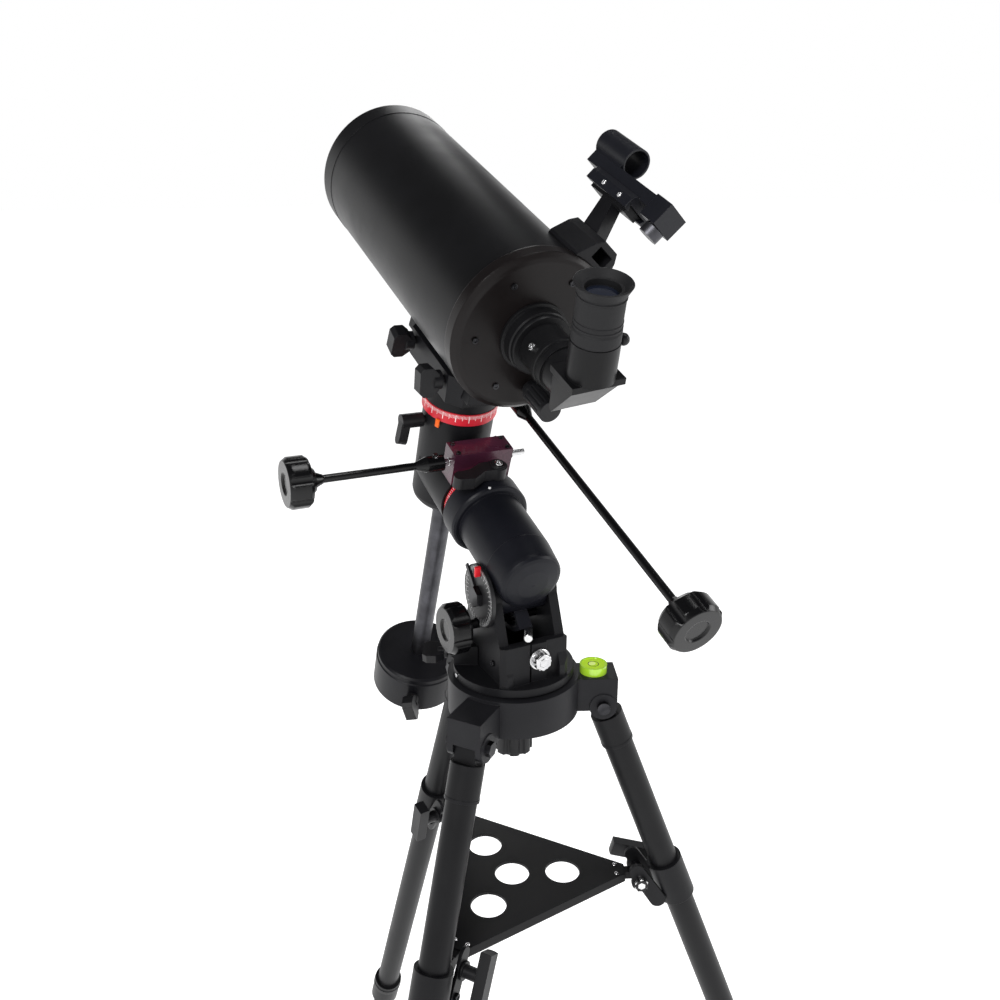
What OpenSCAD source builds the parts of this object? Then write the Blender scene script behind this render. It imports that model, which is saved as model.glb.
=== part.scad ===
// Small Maksutov telescope on a German equatorial mount and a folding tube tripod.
// Origin on the floor under the azimuth axis, +Z up, +Y along the meridian: the polar
// axis rises towards +Y. Lengths in millimetres, angles in degrees.

/* [Tripod] */
// Length of a leg from its hinge to the sole of its foot
leg_len = 700; // [640:10:780]
// Angle of a leg from the vertical when it is spread
leg_tilt = 20.8; // [18:0.2:24]
// Distance of a leg hinge from the azimuth axis
hinge_r = 76.7; // [72:1:84]
// Direction of the first leg
leg_turn = -23.5; // [-40:0.5:0]
// Outer diameter of an upper leg tube
leg_d = 26; // [24:0.5:30]
// Wall of the leg tubes
leg_wall = 1.6; // [1.2:0.1:2.4]
// Drop from the leg hinges to the accessory tray
tray_drop = 182.5; // [170:1:210]
// Diameter of the eyepiece holes in the tray
tray_hole_d = 32; // [28:0.5:36]
// Circle of the three outer eyepiece holes
tray_hole_r = 47; // [44:1:48]
// Outer diameter of the tripod hub
hub_d = 113; // [108:1:116]

/* [Mount] */
// Latitude set on the mount
latitude = 21; // [15:1:40]
// Outer diameter of the azimuth turntable
base_d = 103; // [98:1:107]
// Height of the altitude pivot above the turntable's underside
pivot_h = 74; // [72:1:84]
// Distance of the polar axis from the altitude pivot
ra_off = 27.6; // [27:0.2:32]
// Outer diameter of the polar housing
ra_d = 59; // [56:0.5:60]
// Distance from the altitude pivot to the declination axis along the polar axis
dec_y = 148.2; // [147:0.2:170]
// Outer diameter of the declination housing
dec_d = 63.8; // [60:0.2:65]
// Distance between a worm shaft and its wheel's axis
worm_c = 37; // [36.6:0.1:39]
// Diameter of the worm shafts
worm_shaft_d = 6; // [5:0.5:7]
// Diameter of the slow-motion knobs
knob_d = 43; // [36:1:48]
// Length of the polar slow-motion rod
ra_rod = 100; // [80:1:120]
// Length of the declination slow-motion rod
dec_rod = 248; // [160:1:260]

/* [Counterweight] */
// Diameter of the counterweight shaft
cw_shaft_d = 19; // [16:0.5:20]
// Diameter of the counterweight
cw_d = 92; // [80:1:100]
// Height of the counterweight
cw_h = 48; // [40:1:56]
// Distance of the counterweight's middle from the polar axis
cw_pos = 278; // [220:1:282]

/* [Telescope] */
// Outer diameter of the telescope tube
ota_d = 129; // [110:1:130]
// Length of the telescope from its rear rim to its front rim
ota_len = 310; // [280:1:340]
// Distance from the polar axis to the telescope's axis
ota_h = 183.7; // [183:0.1:200]
// How far the rear rim lies behind the declination axis
ota_back = 93.7; // [88:0.1:100]
// Wall of the telescope tube
ota_wall = 1.5; // [1:0.1:2.5]
// Diameter of the eyepiece barrels
barrel_d = 31.75; // [31.75:0.01:31.75]

/* [Hidden] */
$fn = 96;

eps = 0.01;           // overlap of solids that are joined
run = 0.06;           // radial clearance of a shaft that turns in a bore
gap = 0.3;            // clearance between faces that pass each other

// tripod heights
hinge_z = leg_len * cos(leg_tilt);
tray_z = hinge_z - tray_drop;
hub_z = hinge_z - 4;              // underside of the hub and its lugs
hub_h = 33.5;
hub_top = hub_z + hub_h;
lug_w = 30;
lug_end = hinge_r + 12;
fork_w = 20;                      // slot of a lug
bolt_d = 8;
leg_r = leg_d / 2;
bore_r = leg_r - leg_wall;
lower_r = bore_r - 0.35;
lower_in_r = lower_r - leg_wall;
head_top = 15;                    // hinge to the top of the leg's collar
head_end = 44;                    // hinge to the end of the collar
tray_s = tray_drop / cos(leg_tilt);       // hinge to the tray level along the leg
tube_end = leg_len - 80;
lock_len = 40;
lower_top = tube_end - 370;
foot_len = 34;
ring_r = leg_r + 3.5;
ring_len = 42;
pin_r = hinge_r + tray_drop * tan(leg_tilt) - 27.5;   // tray pin from the azimuth axis
pin_z = tray_z - 5;
ear_gap = 22;
ear_t = 3;
tab_t = 8;
knob_turn = [15, 75, 60];          // how each tray knob stands
tray_corner = pin_r - 2;
tray_t = 3;
tray_rim = 9;

// mount heights and places
base_z = hub_top + 1.9;
base_t = 7;
pivot_z = base_z + pivot_h;
cheek_in = 21.5;                  // inner face of a fork cheek from the middle
cheek_t = 8.5;
cheek_out = cheek_in + cheek_t;
cheek_r = 20;
barrel_r = 19;
axle_d = 12;
scale_r = 27;
scale_t = 3;
lock_y = 3;                       // latitude clamp from the pivot
lock_z = -26;
lock_r = 4;
lat_low = 15;                     // latitudes that the fork leaves free
lat_high = 50;
sector_r = 35;
sector_t = 12;
azimuth_lock_z = 14;              // azimuth lock screw above the turntable's underside
azimuth_lock_turn = 152;
base_bolt_z = -47;
lever_x = 6;
lever_y = 73.5;
dec_lever_z = 49;
ra_r = ra_d / 2;
cap_y = 3;                        // seam between the end cap and the polar housing
cap_end = -24;
collar_y = 57;
collar_h = 23;
collar_r = ra_r + 6;
circle_h = 8;
ra_circle_y = collar_y + collar_h + 0.4;
ra_drum_y = ra_circle_y + circle_h + 0.4;
wheel_r = worm_c - 6;
worm_r = 5.7;
journal_r = worm_shaft_d / 2 + 0.5;
drum_in = wheel_r + 0.5;
drum_r = drum_in + 1.8;
hub_r = 18;
wheel_t = 14;
block_len = 54.6;
ra_block_y = ra_drum_y + 0.1;
ra_block_t = 20.5;
ra_worm_y = ra_block_y + ra_block_t / 2;
ra_shaft_d = 24;
dec_r = dec_d / 2;
dec_shaft_d = 20;
dec_low = -41.6;                  // heights from here on are from the polar axis
dec_top = 59.2;
dec_circle_h = 11.3;
dec_drum_z = dec_top + dec_circle_h + 0.8;
dec_drum_h = 16.5;
dec_worm_z = dec_drum_z + dec_drum_h / 2;
coupling_d = 14;
coupling_len = 15;
rod_d = 6.8;
control_knob_t = 24;
saddle_z = dec_drum_z + dec_drum_h;
saddle_base = 9;
saddle_y0 = -45;
saddle_y1 = 60;
saddle_w = 64;
jaw_h = 17;
bar_w = 44;
bar_top_w = 36;
bar_z = saddle_z + saddle_base;
saddle_knob_y = [-25, 40];
bar_h = ota_h - ota_d / 2 + 6 - bar_z;
saddle_knob_z = bar_z + 8.5;
saddle_grip = bar_w / 2 - 0.4;     // end of a clamp screw at the bar's sloping side
cw_r = cw_d / 2;
cw_shaft_r = cw_shaft_d / 2;
cw_end = cw_pos + cw_h / 2 + 24;
cw_knob_turn = 242;

// telescope places: y from the rear rim towards the sky
ota_r = ota_d / 2;
ota_in = ota_r - ota_wall;
cell_front = 22;
cell_rear = 10;
plate_y = -3.5;
plate_t = 6;
back_y = -16;
back_r = 25.3;
port_r = 19;
port_end = -46;
ep_y = -87.8;
ep_turn = -6.3;
prism = 19;
ep_barrel_r = barrel_d / 2;
focus_x = 5;
focus_z = -44;
mirror_r = 55;
finder_turn = 40;

// The polar frame: x east, y up the polar axis, z away from the tripod, from the pivot
module polar() translate([0, 0, pivot_z]) rotate([latitude, 0, 0]) children();
// The declination frame: z along the declination axis from the polar axis
module decl() polar() translate([0, dec_y, ra_off]) children();
// The telescope frame: y along the telescope from its rear rim
module scope() decl() translate([0, -ota_back, ota_h]) children();
// The finder frame: z out of the tube's skin at the finder's place
module finder() scope() rotate([0, finder_turn, 0]) translate([0, 0, ota_r]) children();
// Turn a solid of revolution so that its axis lies along x or y
module along_x() rotate([0, 90, 0]) children();
module along_y() rotate([-90, 0, 0]) children();
// The plane of leg k: x outwards from the azimuth axis
module leg_side(k) rotate([0, 0, leg_turn + 120 * (k - 1)]) children();
// The leg's own frame: origin in its hinge, z down the leg
module leg_frame(k) leg_side(k) translate([hinge_r, 0, hinge_z]) rotate([0, 180 - leg_tilt, 0])
    children();

module tube(h, r, ri) difference() {
    cylinder(h = h, r = r);
    translate([0, 0, -1]) cylinder(h = h + 2, r = ri);
}

module box(x0, x1, y0, y1, z0, z1) translate([x0, y0, z0]) cube([x1 - x0, y1 - y0, z1 - z0]);

// A knob of n lobes: scallops cut out of a dished disc, axis along z
module lobed_knob(r, h, n) difference() {
    rotate_extrude() polygon([[0, 0], [r * 0.45, 0], [r * 0.6, h * 0.2], [r - 2, h * 0.2],
        [r, h * 0.32], [r, h * 0.85], [r - 2.5, h], [r * 0.45, h], [r * 0.4, h - 1.5],
        [0, h - 1.5]]);
    for (i = [0 : n - 1]) rotate([0, 0, i * 360 / n]) translate([r * 1.09, 0, -1])
        cylinder(h = h + 2, r = r * 0.21, $fn = 32);
}

// A hand screw with two wings, its stem from z = 0 upwards to the head
module wing_screw(stem, stem_r, span, h, t) {
    cylinder(h = stem + 2, r = stem_r);
    translate([0, 0, stem]) cylinder(h = h * 0.45, r = t * 0.62);
    translate([0, 0, stem + 3]) rotate([90, 0, 0]) translate([0, 0, -t / 2])
        linear_extrude(t) polygon([[-span * 0.28, 0], [span * 0.28, 0], [span / 2, h * 0.35],
            [span / 2, h * 0.8], [span * 0.36, h], [-span * 0.36, h], [-span / 2, h * 0.8],
            [-span / 2, h * 0.35]]);
}

// ---- tripod ----

module tripod_hub() color("#1b1b1d") difference() {
    union() {
        translate([0, 0, hub_z]) cylinder(h = hub_h, r = hub_d / 2);
        for (k = [1 : 3]) leg_side(k) {
            box(45, lug_end, -lug_w / 2, lug_w / 2, hub_z, hub_top - 3);
            translate([hinge_r, lug_w / 2 + 1, hinge_z]) rotate([90, 0, 0])
                cylinder(h = lug_w + 2, r = 12);
        }
    }
    translate([0, 0, hub_z - 3]) cylinder(h = hub_h - 5, r = 43);
    translate([0, 0, hub_z]) cylinder(h = hub_h + 1, r = bolt_d * 0.75 + run);
    for (k = [1 : 3]) leg_side(k) {
        box(hinge_r - 16, lug_end - 3.5, -fork_w / 2, fork_w / 2, hinge_z - 20, hub_top - 8);
        box(hinge_r - 16, lug_end + 1, -fork_w / 2, fork_w / 2, hinge_z - 20, hinge_z + 3);
        translate([hinge_r, lug_w, hinge_z]) rotate([90, 0, 0])
            cylinder(h = 2 * lug_w, r = bolt_d / 2 + run);
    }
}

module bubble_level() color("#b9e02c") leg_side(1)
    translate([hinge_r - 7.5, 0, hub_top - 3]) difference() {
        cylinder(h = 7.4, r = 11.8);
        translate([0, 0, 6.8]) cylinder(h = 1, r = 10.2);
    }

module hinge_bolts() color("#2a2a2c") for (k = [1 : 3]) leg_side(k)
    translate([hinge_r, 0, hinge_z]) rotate([90, 0, 0]) {
        translate([0, 0, -lug_w / 2 - 5]) cylinder(h = lug_w + 10, r = bolt_d / 2);
        translate([0, 0, lug_w / 2 + 1]) cylinder(h = 4, r = 5.6);
        translate([0, 0, -lug_w / 2 - 5]) cylinder(h = 4, r = 6.5, $fn = 6);
    }

module hub_knob() color("#19191b") {
    translate([0, 0, hub_z - 42]) difference() {
        cylinder(h = 34, r = 17);
        for (i = [0 : 7]) rotate([0, 0, 45 * i]) translate([18.6, 0, -1])
            cylinder(h = 24, r = 3.6, $fn = 32);
        translate([0, 0, -1]) cylinder(h = 4, r = 9);
    }
    translate([0, 0, hub_z - 9]) cylinder(h = 17, r = 11);
    translate([0, 0, hub_z]) cylinder(h = base_z + base_t - hub_z, r = bolt_d * 0.75);
}

module tray_pin(k, r, h) leg_side(k) translate([pin_r, h / 2, pin_z]) rotate([90, 0, 0])
    cylinder(h = h, r = r);

// A triangle of circumradius r with its corners cut off at a distance d from the middle
module tray_shape(r, d) polygon([for (k = [0 : 2], side = [-1, 1])
    let (a = leg_turn + 120 * k, w = (r - d) * tan(30))
        [d * cos(a) - side * w * sin(a), d * sin(a) + side * w * cos(a)]]);

module tray() color("#141415") difference() {
    union() {
        difference() {
            translate([0, 0, tray_z - tray_rim]) linear_extrude(tray_rim)
                tray_shape(tray_corner, pin_r - 13);
            translate([0, 0, tray_z - tray_rim - 1]) linear_extrude(tray_rim + 1 - tray_t)
                tray_shape(tray_corner - 5, pin_r - 15.5);
        }
        for (k = [1 : 3]) leg_side(k) {
            box(pin_r - 22, pin_r, -tab_t / 2, tab_t / 2, pin_z - 3.5, tray_z - 0.5);
            translate([pin_r, tab_t / 2, pin_z]) rotate([90, 0, 0])
                cylinder(h = tab_t, r = 6.5);
        }
    }
    for (a = [0 : 3]) rotate([0, 0, leg_turn + 120 * a])
        translate([a == 3 ? 0 : tray_hole_r, 0, tray_z - tray_rim])
            cylinder(h = 2 * tray_rim, r = tray_hole_d / 2);
    tray_pin(1, 4 + run, 2 * ear_gap);
}

module upper_leg(k) color("#1e1e20") leg_frame(k) {
    // hinge head: tongue in the lug, collar and plug
    difference() {
        union() {
            translate([0, (fork_w - 0.6) / 2, 0]) rotate([90, 0, 0])
                cylinder(h = fork_w - 0.6, r = 7.5);
            box(-7.5, 7.5, -(fork_w - 0.6) / 2, (fork_w - 0.6) / 2, 0, head_top + 3);
            translate([0, 0, head_top]) cylinder(h = head_end - head_top, r = leg_r + 1.3);
            translate([0, 0, head_top]) cylinder(h = head_end - head_top + 24,
                r = bore_r - 0.05);
        }
        translate([0, fork_w, 0]) rotate([90, 0, 0]) cylinder(h = 2 * fork_w,
            r = bolt_d / 2 + run);
    }
    translate([0, 0, head_end]) tube(tube_end - head_end, leg_r, bore_r);
    // lock collar at the tube's end
    translate([0, 0, tube_end - lock_len]) tube(lock_len - 2, ring_r, leg_r + 0.05);
}

// An ear of the bracket: a strip that runs down beside the leg, seen along its thickness
module ear_shape() {
    translate([-4, 12]) circle(r = 7);
    translate([17, -20]) circle(r = 7.5);
    circle(r = 8.5);
    polygon([[-9.9, 8.2], [1.8, 15.9], [23.3, -15.9], [10.7, -24.1]]);
}

module tray_bracket(k) color("#1b1b1d") difference() {
    union() {
        leg_frame(k) translate([0, 0, tray_s - 12]) cylinder(h = ring_len, r = ring_r);
        for (side = [-1, 1]) leg_side(k)
            translate([pin_r, side * (ear_gap + ear_t) / 2, pin_z]) rotate([90, 0, 0])
                translate([0, 0, -ear_t / 2]) linear_extrude(ear_t) ear_shape();
    }
    leg_frame(k) translate([0, 0, tray_s - 60]) cylinder(h = 120, r = leg_r + 0.05);
    tray_pin(k, 4 + run, 3 * ear_gap);
}

module tray_knob(k) color("#19191b") leg_side(k) {
    start = k == 1 ? -ear_gap / 2 - ear_t - 1 : ear_gap / 2;
    out = ear_gap / 2 + ear_t;
    translate([pin_r, start, pin_z]) rotate([-90, 0, 0]) cylinder(h = out + 10 - start, r = 4);
    translate([pin_r, out + 0.4, pin_z]) rotate([-90, 0, 0]) cylinder(h = 1.6, r = 8);
    if (k == 1) translate([pin_r, start - 4, pin_z]) rotate([-90, 0, 0])
        cylinder(h = 4.5, r = 6.5, $fn = 6);
    translate([pin_r, out + 2, pin_z]) rotate([-90, 0, 0]) {
        cylinder(h = 13, r = 5.5);
        translate([0, 0, 12]) rotate([0, 0, knob_turn[k - 1]]) intersection() {
            box(-21, 21, -7, 7, 0, 10);
            translate([0, 15, 5]) rotate([90, 0, 0]) cylinder(h = 30, r = 21);
        }
    }
}

module lower_leg(k) color("#232325") difference() {
    leg_frame(k) {
        translate([0, 0, lower_top]) tube(leg_len - foot_len - lower_top, lower_r, lower_in_r);
        // rubber foot over the tube's end
        translate([0, 0, leg_len - foot_len - eps]) cylinder(h = foot_len + 20, r = leg_r);
    }
    translate([0, 0, -50]) cylinder(h = 50, r = leg_len);
}

// ---- azimuth base ----

module cheek_shape() {
    circle(r = cheek_r);
    polygon([[-cheek_r, 0], [cheek_r, 0], [42, base_t - pivot_h + 4], [42, base_t - pivot_h],
        [-42, base_t - pivot_h], [-42, base_t - pivot_h + 10]]);
}

module azimuth_base() color("#161618") difference() {
    union() {
        translate([0, 0, base_z]) cylinder(h = base_t, r = base_d / 2);
        intersection() {
            translate([0, 0, pivot_z]) {
                for (side = [-1, 1]) translate([side * (cheek_in + cheek_t / 2), 0, 0])
                    rotate([90, 0, 90]) translate([0, 0, -cheek_t / 2])
                        linear_extrude(cheek_t) cheek_shape();
                box(-cheek_out, cheek_out, -38, -31, base_t - pivot_h - eps, -33);
                box(-cheek_out, cheek_out, 33, 40, base_t - pivot_h - eps, -50);
                box(-32, -6, -41, -37, base_t - pivot_h - eps, -32);
                box(-4, 10, -40, -37, base_t - pivot_h - eps, -33);
            }
            translate([0, 0, base_z]) cylinder(h = 2 * pivot_h, r = base_d / 2 - 2);
        }
        rotate([0, 0, azimuth_lock_turn]) box(30, base_d / 2 - 1, -9, 9, base_z, base_z + 24);
    }
    translate([0, 0, base_z - 1]) cylinder(h = base_t + 2, r = bolt_d * 0.75 + run);
    translate([0, 0, pivot_z]) {
        translate([-60, 0, 0]) along_x() cylinder(h = 120, r = axle_d / 2 + run);
        translate([-60, lock_y, lock_z]) along_x() cylinder(h = 120, r = lock_r + run);
        translate([3, -60, base_bolt_z]) along_y() cylinder(h = 40, r = 4.5 + run);
    }
    rotate([0, 0, azimuth_lock_turn]) translate([base_d / 2 - 14, 0, base_z + azimuth_lock_z])
        along_x() cylinder(h = 30, r = 2.5 + run);
}

module latitude_scale() color("#202022") translate([0, 0, pivot_z]) difference() {
    translate([-cheek_out - scale_t, 0, 0]) along_x() cylinder(h = scale_t, r = scale_r);
    translate([-60, 0, 0]) along_x() cylinder(h = 60, r = axle_d / 2 + run);
    translate([-60, lock_y, lock_z]) along_x() cylinder(h = 50, r = lock_r + 1.5);
}

// The axle turns with the polar housing; the latitude pointer sits on its left end
module altitude_axle() color("#2c2c2e") translate([0, 0, pivot_z]) {
    translate([-cheek_out - 8, 0, 0]) along_x() cylinder(h = 2 * cheek_out + 14, r = axle_d / 2);
    translate([-cheek_out - scale_t - 5, 0, 0]) along_x() cylinder(h = 4.7, r = 9.5, $fn = 6);
    translate([cheek_out + gap, 0, 0]) along_x() cylinder(h = 6, r = 9.5, $fn = 6);
    rotate([-42, 0, 0]) box(-cheek_out - scale_t - 2, -cheek_out - scale_t - gap, -2, 2, 5,
        scale_r + 2);
}

module latitude_knob() color("#0e0e10") translate([0, lock_y, pivot_z + lock_z]) {
    translate([cheek_out + gap, 0, 0]) along_x() cylinder(h = 6, r = 8, $fn = 6);
    translate([cheek_out + 6, 0, 0]) rotate([0, -90, 0]) cylinder(h = 2 * cheek_out + 24,
        r = lock_r);
    translate([-cheek_out - 11, 0, 0]) rotate([0, -90, 0]) lobed_knob(knob_d / 2, 21, 7);
}

module azimuth_knob() color("#1d2230") rotate([0, 0, azimuth_lock_turn])
    translate([base_d / 2 - 12, 0, base_z + azimuth_lock_z]) rotate([0, 90, 0])
        rotate([0, 0, 75]) wing_screw(17, 2.5, 19, 18, 8);

module base_bolt() color("#c8c8ca") translate([3, 0, pivot_z + base_bolt_z]) rotate([90, 0, 0]) {
    translate([0, 0, 26]) cylinder(h = 20, r = 4.5);
    translate([0, 0, 40]) cylinder(h = 1.6, r = 9);
    translate([0, 0, 41.6]) cylinder(h = 6, r = 7.5, $fn = 6);
}

// ---- polar axis ----

// The fork's side seen along the altitude axis, swept through the latitudes, with a gap
function side_point(lat, x, z) = [x * cos(lat) + z * sin(lat), z * cos(lat) - x * sin(lat)];
module side_sweep() {
    circle(r = cheek_r + 0.6);
    polygon([side_point(lat_high, -18.1, 6.9), side_point(lat_high, -46.6, -67.9),
        side_point(lat_high, 0, -120), side_point(lat_low, 0, -120),
        side_point(lat_low, 46.6, -67.9), side_point(lat_low, 18.1, 6.9)]);
}

module side_pockets() for (side = [0, 1]) mirror([side, 0, 0])
    translate([cheek_in - 0.3, 0, 0]) rotate([90, 0, 90]) linear_extrude(60) side_sweep();

// Slot of the latitude clamp, an arc about the altitude pivot
module clamp_arc(r0, r1, margin) {
    mid = atan2(lock_z, lock_y);
    a0 = mid - (lat_high - latitude) - margin;
    a1 = mid + (latitude - lat_low) + margin;
    intersection() {
        difference() {
            circle(r = r1);
            circle(r = r0);
        }
        polygon(concat([[0, 0]], [for (i = [0 : 6]) let (a = a0 + (a1 - a0) * i / 6)
            [80 * cos(a), 80 * sin(a)]]));
    }
}

module ra_housing() color("#17171b") difference() {
    union() {
        polar() {
            translate([0, cap_y + 0.05, ra_off]) along_y()
                cylinder(h = collar_y - cap_y + 1, r = ra_r);
            translate([0, collar_y, ra_off]) along_y() rotate_extrude() polygon([[0, 0],
                [collar_r - 3, 0], [collar_r - 1, 1], [collar_r, 3], [collar_r, collar_h - 1],
                [collar_r - 1, collar_h], [0, collar_h]]);
            translate([-cheek_in + gap, 0, 0]) along_x()
                cylinder(h = 2 * (cheek_in - gap), r = barrel_r);
        }
        translate([-sector_t / 2, 0, pivot_z]) rotate([90, 0, 90])
            linear_extrude(sector_t) clamp_arc(10, sector_r, 18);
    }
    translate([-sector_t, 0, pivot_z]) rotate([90, 0, 90]) linear_extrude(2 * sector_t)
        clamp_arc(-lock_z - lock_r - 0.2, -lock_z + lock_r + 0.7, 11);
    polar() {
        side_pockets();
        translate([0, cap_y, ra_off]) along_y()
            cylinder(h = collar_y + collar_h, r = ra_shaft_d / 2 + run);
        translate([0, cap_y, ra_off]) along_y() cylinder(h = 22, r = ra_r - 5);
        translate([0, collar_y + collar_h - 12, ra_off]) along_y()
            cylinder(h = 13, r = hub_r + 0.05);
        translate([-60, 0, 0]) along_x() cylinder(h = 120, r = axle_d / 2 + 0.03);
        translate([lever_x, lever_y, ra_off + hub_r]) cylinder(h = 40, r = 3.5 + run);
    }
}

module ra_end_cap() color("#17171b") polar() difference() {
    translate([0, cap_end, ra_off]) along_y() rotate_extrude() polygon([[0, -2],
        [ra_r - 16, -1.4], [ra_r - 7, 0], [ra_r - 4.2, 1], [ra_r - 2.6, 3], [ra_r - 2, 6],
        [ra_r, cap_y - cap_end - 1], [ra_r, cap_y - cap_end], [ra_r - 4, cap_y - cap_end],
        [ra_r - 6, 6], [0, 6]]);
    side_pockets();
    translate([-60, 0, 0]) along_x() cylinder(h = 120, r = barrel_r + 0.05);
}

module lever_arm(len, w) {
    cylinder(h = 11, r = w / 2 + 1.5);
    linear_extrude(11) polygon([[0, w / 2], [-len * 0.35, w * 0.62], [-len * 0.7, w * 0.25],
        [-len, w * 0.3], [-len, -w * 0.55], [-len * 0.75, -w * 0.75], [-len * 0.4, -w * 0.3],
        [0, -w / 2]]);
    translate([-len, -w * 0.12, 0]) cylinder(h = 11, r = w * 0.43);
}

module ra_lever() color("#232325") polar()
    translate([lever_x, lever_y, ra_off + hub_r + 1]) {
        cylinder(h = collar_r - hub_r + 2, r = 3.5);
        translate([0, 0, collar_r - hub_r - 0.5]) rotate([0, 0, 8]) lever_arm(38, 13);
    }

module ra_circle() color("#c01525") polar() translate([0, ra_circle_y, ra_off]) along_y()
    tube(circle_h, drum_r - 2.6, hub_r + 0.3);

module ra_wheel() color("#b08d3c") polar() difference() {
    union() {
        translate([0, collar_y + collar_h - 12, ra_off]) along_y()
            cylinder(h = ra_worm_y - collar_y - collar_h + 12, r = hub_r);
        translate([0, ra_worm_y - wheel_t / 2, ra_off]) along_y()
            cylinder(h = wheel_t, r = wheel_r);
    }
    translate([0, 0, ra_off]) along_y() cylinder(h = 2 * ra_worm_y, r = ra_shaft_d / 2 + run);
}

module ra_shaft() color("#9a9a9e") polar() translate([0, 12, ra_off]) along_y() {
    cylinder(h = dec_y - dec_r - 12 + 8, r = ra_shaft_d / 2);
    cylinder(h = 10, r = ra_r - 6);
}

module worm_block(len, t, h) difference() {
    box(-len / 2, len / 2, -t / 2, t / 2, -h, 13);
    translate([-len, 0, 0]) along_x() cylinder(h = 2 * len, r = journal_r + run);
    translate([-15, 0, 0]) along_x() cylinder(h = 30, r = worm_r + 0.5);
}

module ra_worm_block() color("#2a1420") polar() difference() {
    translate([0, ra_worm_y, ra_off + worm_c]) worm_block(block_len, ra_block_t, 19);
    translate([0, ra_worm_y - 40, ra_off]) along_y() cylinder(h = 80, r = drum_r + 0.05);
}

module worm(out_a, out_b) {
    translate([-out_a, 0, 0]) along_x() cylinder(h = out_a + out_b, r = worm_shaft_d / 2);
    translate([-block_len / 2 - 0.5, 0, 0]) along_x() cylinder(h = block_len + 1,
        r = journal_r);
    translate([-13, 0, 0]) along_x() rotate_extrude() polygon(concat([[0, 0]],
        [for (i = [0 : 12], s = [0, 1]) [worm_r - (s == 0 ? 1.2 : 0), i * 2 + s]],
        [[worm_r - 1.2, 26], [0, 26]]));
}

module ra_worm() color("#c9c9cc") polar() translate([0, ra_worm_y, ra_off + worm_c])
    worm(block_len / 2 + 14, block_len / 2 + 17);

// Coupling, rod and lobed knob, from x = 0 away along -x
module control(rod) {
    rotate([0, -90, 0]) difference() {
        union() {
            cylinder(h = coupling_len, r = coupling_d / 2);
            translate([0, 0, coupling_len]) cylinder(h = 10, r1 = coupling_d / 2,
                r2 = rod_d / 2);
            cylinder(h = coupling_len + rod, r = rod_d / 2);
            translate([0, 0, coupling_len + rod - 10]) cylinder(h = 7, r1 = 4, r2 = 7);
            translate([coupling_d / 2 - 2, 0, coupling_len / 2]) rotate([0, 90, 0])
                cylinder(h = 5, r = 2);
        }
        translate([0, 0, -1]) cylinder(h = 11, r = worm_shaft_d / 2 + 0.02);
    }
    translate([-coupling_len - rod + 3, 0, 0]) rotate([0, -90, 0]) difference() {
        lobed_knob(knob_d / 2, control_knob_t, 7);
        translate([0, 0, -1]) cylinder(h = control_knob_t - 6, r = rod_d / 2 + 0.02);
    }
}

module ra_control() color("#19191b") polar()
    translate([-block_len / 2 - 6, ra_worm_y, ra_off + worm_c]) control(ra_rod);

// ---- declination axis ----

module dec_housing() color("#161618") decl() difference() {
    union() {
        translate([0, 0, dec_low]) rotate_extrude() polygon([[0, 0], [dec_r - 9, 0],
            [dec_r - 4, 1.5], [dec_r - 1.2, 5], [dec_r, 9], [dec_r, dec_top - dec_low],
            [0, dec_top - dec_low]]);
        translate([0, ra_drum_y - dec_y, 0]) along_y()
            cylinder(h = dec_y - ra_drum_y, r = drum_r);
    }
    translate([0, 0, dec_low - 30]) cylinder(h = 160, r = dec_shaft_d / 2 + run);
    translate([0, 0, dec_low - 10]) cylinder(h = 22, r = cw_shaft_r + 0.05);
    translate([0, ra_drum_y - dec_y - 1, 0]) along_y() cylinder(h = ra_block_t + 1, r = drum_in);
    translate([0, ra_drum_y - dec_y - 1, 0]) along_y()
        cylinder(h = dec_y - ra_drum_y - dec_r + 9, r = ra_shaft_d / 2 + 0.03);
    box(-14.5, 14.5, ra_drum_y - dec_y - 1, ra_drum_y - dec_y + ra_block_t, 24, 60);
    translate([0, 0, dec_top - 12]) cylinder(h = 13, r = hub_r + 0.05);
    translate([-60, 0, dec_lever_z]) along_x() cylinder(h = 60 - hub_r, r = 3.5 + run);
}

module dec_lever() color("#1b1b1d") decl() translate([-hub_r - 1, 0, dec_lever_z]) rotate([0, -90, 0]) {
    cylinder(h = dec_r - hub_r + 3, r = 3.5);
    translate([0, 0, dec_r - hub_r + 1.4]) {
        cylinder(h = 20, r = 6.5);
        rotate([0, 0, -160]) translate([-3, -5, 11]) rotate([0, -14, 0]) {
            box(0, 20, 0, 10, 0, 8);
            translate([20, 5, 0]) cylinder(h = 8, r = 5);
        }
    }
}

module dec_circle() color("#c81628") decl() translate([0, 0, dec_top + 0.4])
    tube(dec_circle_h, dec_r + 1.7, hub_r + 0.3);

module dec_wheel() color("#b08d3c") decl() difference() {
    union() {
        translate([0, 0, dec_top - 12]) cylinder(h = dec_worm_z - dec_top + 12, r = hub_r);
        translate([0, 0, dec_worm_z - wheel_t / 2]) cylinder(h = wheel_t, r = wheel_r);
    }
    translate([0, 0, -20]) cylinder(h = 140, r = dec_shaft_d / 2 + run);
}

module dec_shaft() color("#9a9a9e") decl() translate([0, 0, dec_low + 14])
    cylinder(h = saddle_z - dec_low - 14 + 4, r = dec_shaft_d / 2);

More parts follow.
